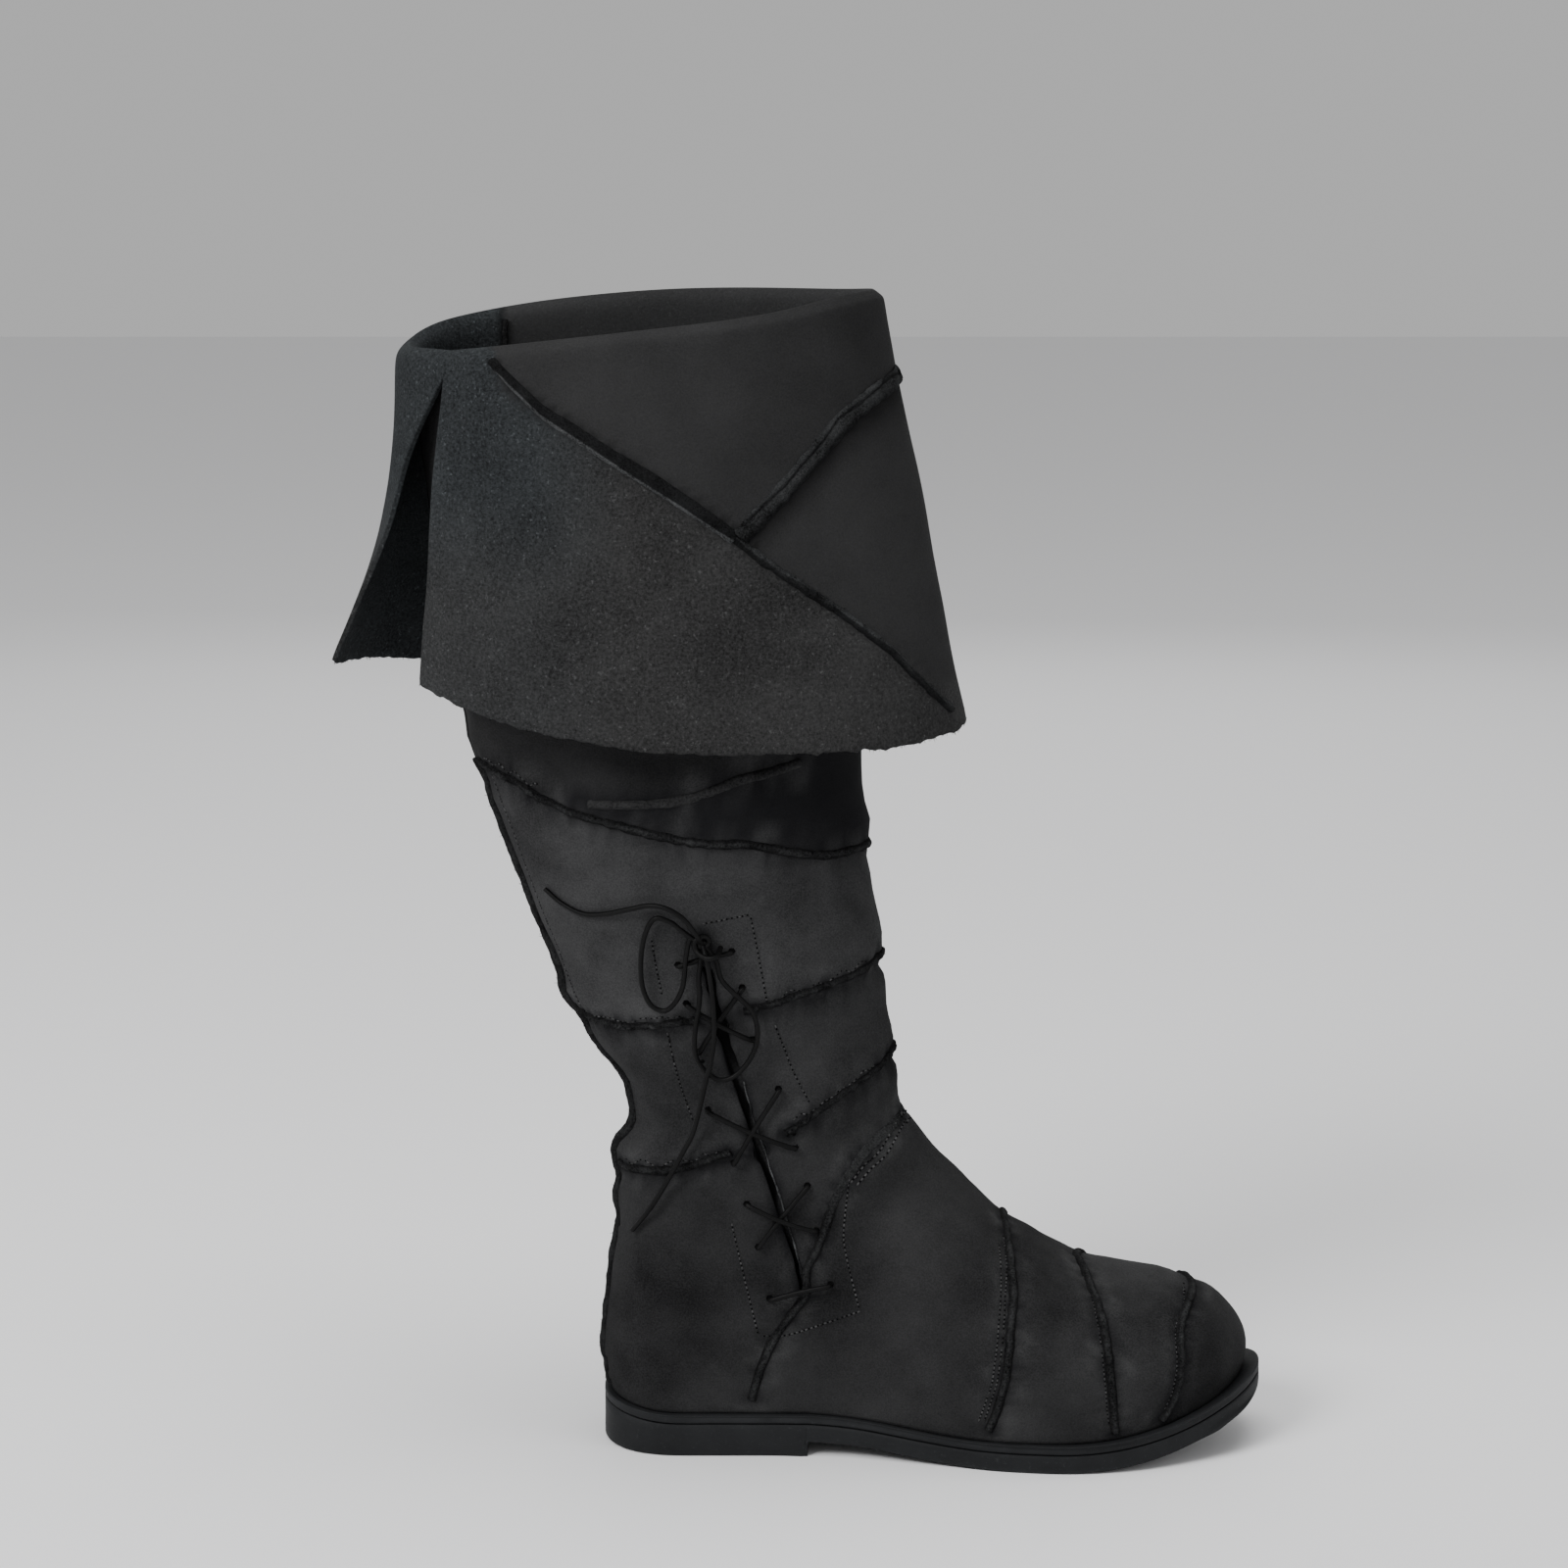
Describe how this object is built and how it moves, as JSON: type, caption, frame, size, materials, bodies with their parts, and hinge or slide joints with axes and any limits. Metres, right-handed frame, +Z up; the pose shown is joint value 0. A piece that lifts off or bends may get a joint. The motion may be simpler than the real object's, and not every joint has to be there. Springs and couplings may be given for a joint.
{
  "type": "medieval boot",
  "caption": "Tall right boot of dark suede with a wide turned-down cuff, raised raw-edge seams, side lacing with a thin cord bow, and a flat moulded sole with a low heel.",
  "frame": {"origin": "on the floor under the centre of the heel", "axes": "+X to the toe, +Y to the inner side of the right foot, +Z up"},
  "size_m": [0.4187, 0.1575, 0.5226],
  "materials": {
    "sole_rubber": "moulded, semi-matt",
    "footbed": "smooth leather",
    "black_suede": "suede nap",
    "gusset_suede": "suede nap",
    "cuff_leather": "rough flesh side",
    "raw_edge": "raw cut edge",
    "cuff_edge": "raw cut edge",
    "leather_cord": "cut leather cord"
  },
  "bodies": {
    "root": {"outsole": "sole_rubber", "insole": "footbed", "upper": "black_suede", "gusset": "gusset_suede", "cuff": "cuff_leather", "seam_calf": "raw_edge", "fold_calf": "raw_edge", "seam_ankle_back": "raw_edge", "seam_ankle_front": "raw_edge", "seam_heel_back": "raw_edge", "seam_heel_front": "raw_edge", "seam_vamp": "raw_edge", "seam_back": "raw_edge", "seam_instep": "raw_edge", "seam_ball": "raw_edge", "seam_toe_cap": "raw_edge", "cuff_rolled_seam": "cuff_edge", "cuff_flap_seam": "cuff_edge", "cuff_frayed_seam": "cuff_edge", "lace_top_bar": "leather_cord", "lace_crossing_upper": "leather_cord", "lace_crossing_middle": "leather_cord", "lace_crossing_lower": "leather_cord", "lace_bottom_bar": "leather_cord", "bow_knot": "leather_cord", "bow_loop_back": "leather_cord", "bow_loop_front": "leather_cord", "lace_end_back": "leather_cord", "lace_end_front": "leather_cord"}
  },
  "joints": []
}
